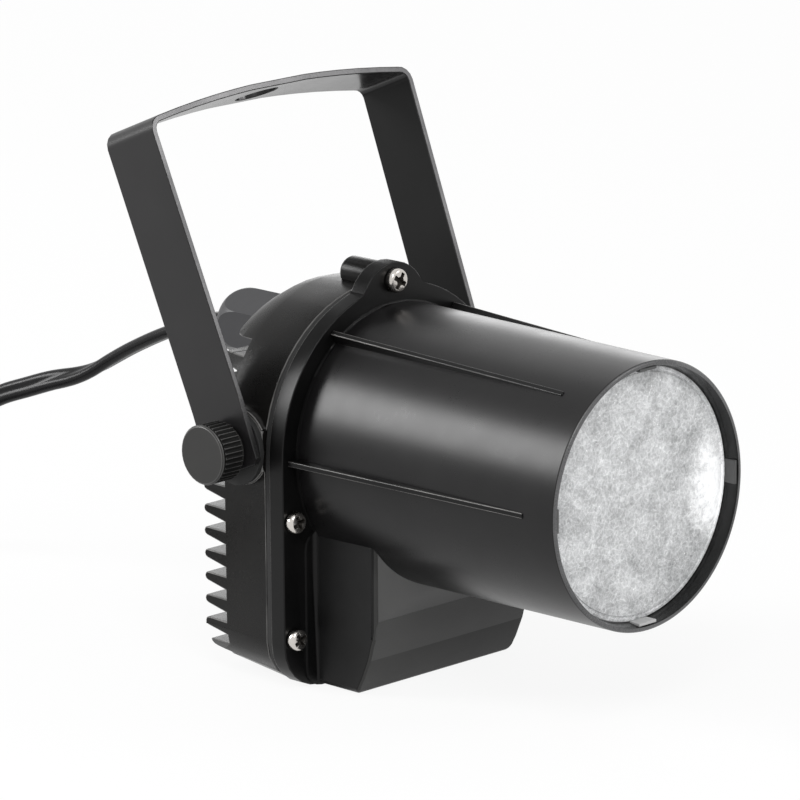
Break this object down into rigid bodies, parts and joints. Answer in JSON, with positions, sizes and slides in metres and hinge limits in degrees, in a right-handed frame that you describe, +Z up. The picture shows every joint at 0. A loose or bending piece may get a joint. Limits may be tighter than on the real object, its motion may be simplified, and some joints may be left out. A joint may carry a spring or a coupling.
{
  "type": "pinspot light",
  "caption": "Small LED pinspot light with a long lamp barrel, a finned rear housing, a tilting strap yoke held by two thumb screws, and a flat mains lead.",
  "frame": {"origin": "middle of the flat underside of the front housing, in the plane of the flange's front face", "axes": "+X along the yoke's tilt axis towards the lamp's right side seen from behind, -Y along the beam, +Z up"},
  "size_m": [0.1612, 0.2932, 0.1383],
  "materials": {
    "moulded_black": "satin moulded black",
    "cast_black": "die-cast aluminium under satin black paint",
    "rubber_black": "dull black",
    "lens_frosted": "frosted front, bright from the reflector behind it",
    "lens_clear": "polished clear",
    "aluminium_plain": "machined",
    "board_white": "white solder mask",
    "emitter_yellow": "phosphor yellow",
    "board_green": "green solder mask",
    "ferrite_dark": "dark sintered",
    "sleeve_blue": "shrunk sleeve",
    "terminal_green": "moulded",
    "wire_brown": "insulated wire",
    "wire_blue": "insulated wire",
    "wire_red": "insulated wire",
    "wire_black": "insulated wire",
    "yoke_paint": "dark grey powder coat on steel strap",
    "knob_black": "satin moulded",
    "gland_grey": "satin moulded nylon",
    "cord_black": "glossy soft PVC",
    "nickel": "bright nickel plate",
    "steel_plain": "zinc plated",
    "brass_insert": "turned"
  },
  "bodies": {
    "housing": {"front_housing": "moulded_black", "rear_housing": "cast_black", "housing_gasket": "rubber_black", "front_lens": "lens_frosted", "lens_gasket": "rubber_black", "heat_spreader": "aluminium_plain", "led_board": "board_white", "led_emitter": "emitter_yellow", "collimator_lens": "lens_clear", "collimator_holder": "moulded_black", "driver_board": "board_green", "driver_transformer": "ferrite_dark", "driver_capacitor": "sleeve_blue", "driver_choke": "ferrite_dark", "terminal_block": "terminal_green", "mains_core_brown": "wire_brown", "mains_core_blue": "wire_blue", "led_wire_red": "wire_red", "led_wire_black": "wire_black", "gland_body": "gland_grey", "gland_nut": "gland_grey", "gland_seal": "rubber_black", "gland_lock_nut": "gland_grey", "inner_lead": "cord_black", "cord_run": "cord_black", "cord_coil": "cord_black", "cord_tie": "rubber_black", "plug_body": "cord_black", "plug_pin_left": "nickel", "plug_pin_right": "nickel", "flange_screw_top": "nickel", "flange_screw_middle_left": "nickel", "flange_screw_middle_right": "nickel", "flange_screw_low_left": "nickel", "flange_screw_low_right": "nickel", "board_screw_low_left": "steel_plain", "board_screw_low_right": "steel_plain", "board_screw_high_left": "steel_plain", "board_screw_high_right": "steel_plain", "led_board_screw_left": "steel_plain", "friction_washer_left": "rubber_black", "pivot_insert_left": "brass_insert", "led_board_screw_right": "steel_plain", "friction_washer_right": "rubber_black", "pivot_insert_right": "brass_insert"},
    "yoke": {"yoke": "yoke_paint"},
    "washer_left": {"knob_washer_left": "steel_plain"},
    "washer_right": {"knob_washer_right": "steel_plain"},
    "knob_left": {"thumb_knob_left": "knob_black", "thumb_stud_left": "steel_plain"},
    "knob_right": {"thumb_knob_right": "knob_black", "thumb_stud_right": "steel_plain"}
  },
  "joints": [
    {"name": "yoke_tilt", "type": "hinge", "parent": "housing", "child": "yoke", "pos_m": [0, 0.0144, 0.0584], "axis": [1, 0, 0], "range_deg": [-50, 80]},
    {"name": "thumb_screw_left_travel", "type": "slide", "parent": "housing", "child": "washer_left", "axis": [-1, 0, 0], "range_m": [0, 0.0016]},
    {"name": "thumb_screw_left_turn", "type": "hinge", "parent": "washer_left", "child": "knob_left", "pos_m": [-0.0467, 0.0144, 0.0584], "axis": [-1, 0, 0], "range_deg": [0, 720]},
    {"name": "thumb_screw_right_travel", "type": "slide", "parent": "housing", "child": "washer_right", "axis": [1, 0, 0], "range_m": [0, 0.0016]},
    {"name": "thumb_screw_right_turn", "type": "hinge", "parent": "washer_right", "child": "knob_right", "pos_m": [0.0467, 0.0144, 0.0584], "axis": [1, 0, 0], "range_deg": [0, 720]}
  ],
  "couplings": [
    {"joint": "thumb_screw_left_turn", "follows": "thumb_screw_left_travel", "rad_per_m": 7854},
    {"joint": "thumb_screw_right_turn", "follows": "thumb_screw_right_travel", "rad_per_m": 7854}
  ]
}
